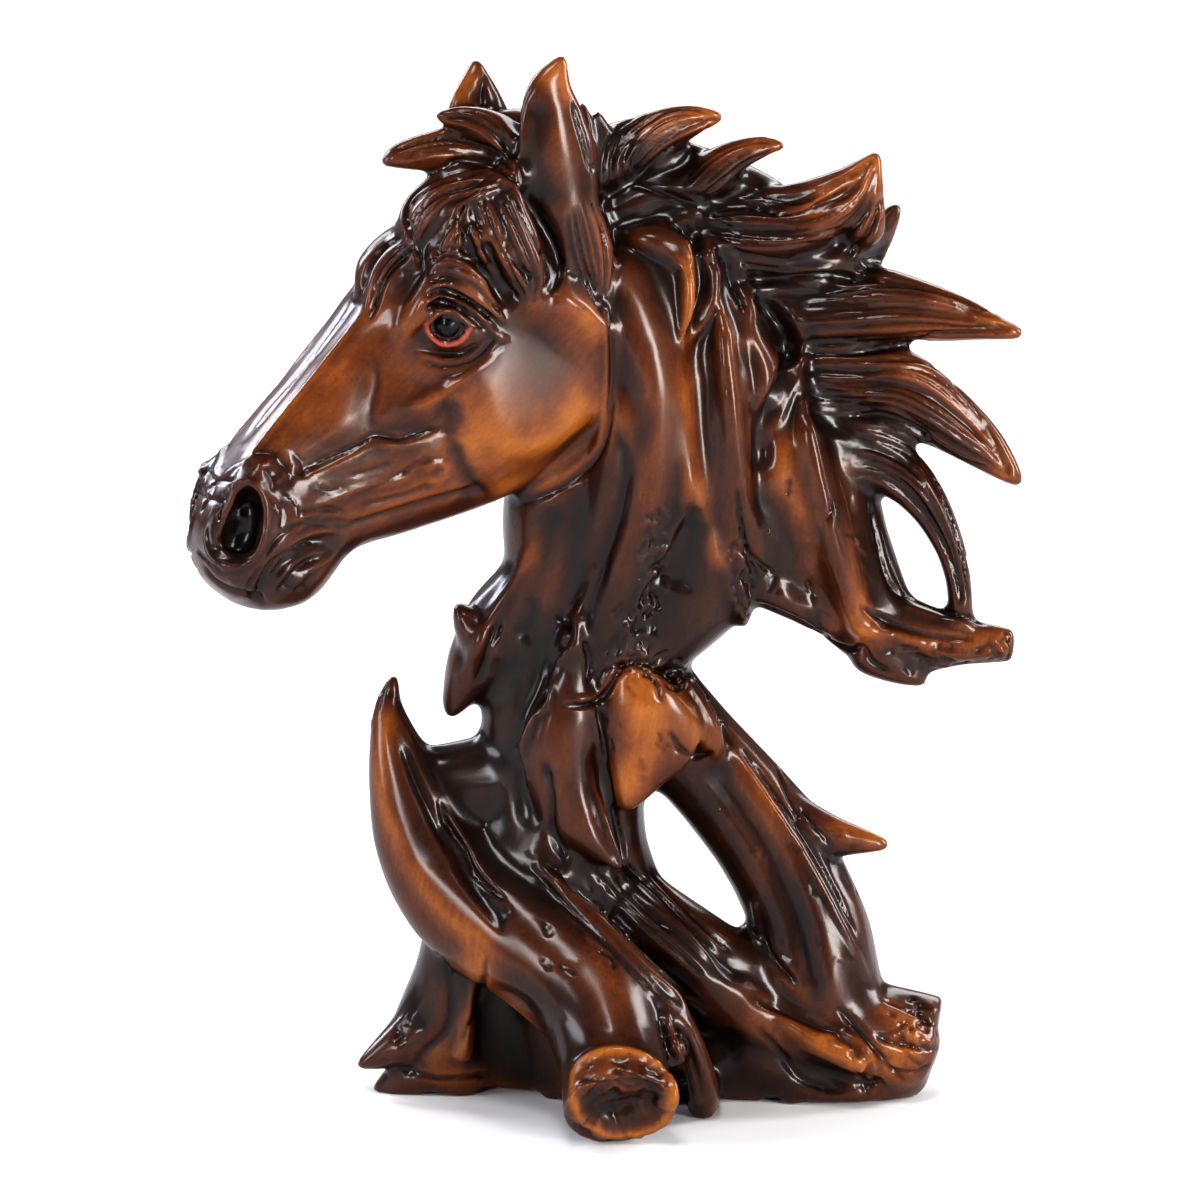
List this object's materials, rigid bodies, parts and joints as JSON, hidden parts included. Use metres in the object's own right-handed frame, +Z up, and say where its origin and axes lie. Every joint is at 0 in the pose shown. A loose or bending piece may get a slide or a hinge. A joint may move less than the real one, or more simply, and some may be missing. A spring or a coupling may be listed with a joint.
{
  "type": "horse head figurine",
  "caption": "Carved-look horse head and neck with wind-swept mane, rising from a root-shaped stand; a desk or shelf ornament cast in one piece.",
  "frame": {"origin": "middle of the bounding box in X and Y, at the flat underside", "axes": "+Z up out of the stand, -X the way the muzzle points before the head's slight turn, -Y towards the viewer of the main face"},
  "size_m": [0.207, 0.0862, 0.2666],
  "materials": {
    "stained_resin": "cast resin stained as dark and amber wood under a glossy lacquer"
  },
  "bodies": {
    "root": {"horse_head_figurine": "stained_resin"}
  },
  "joints": []
}
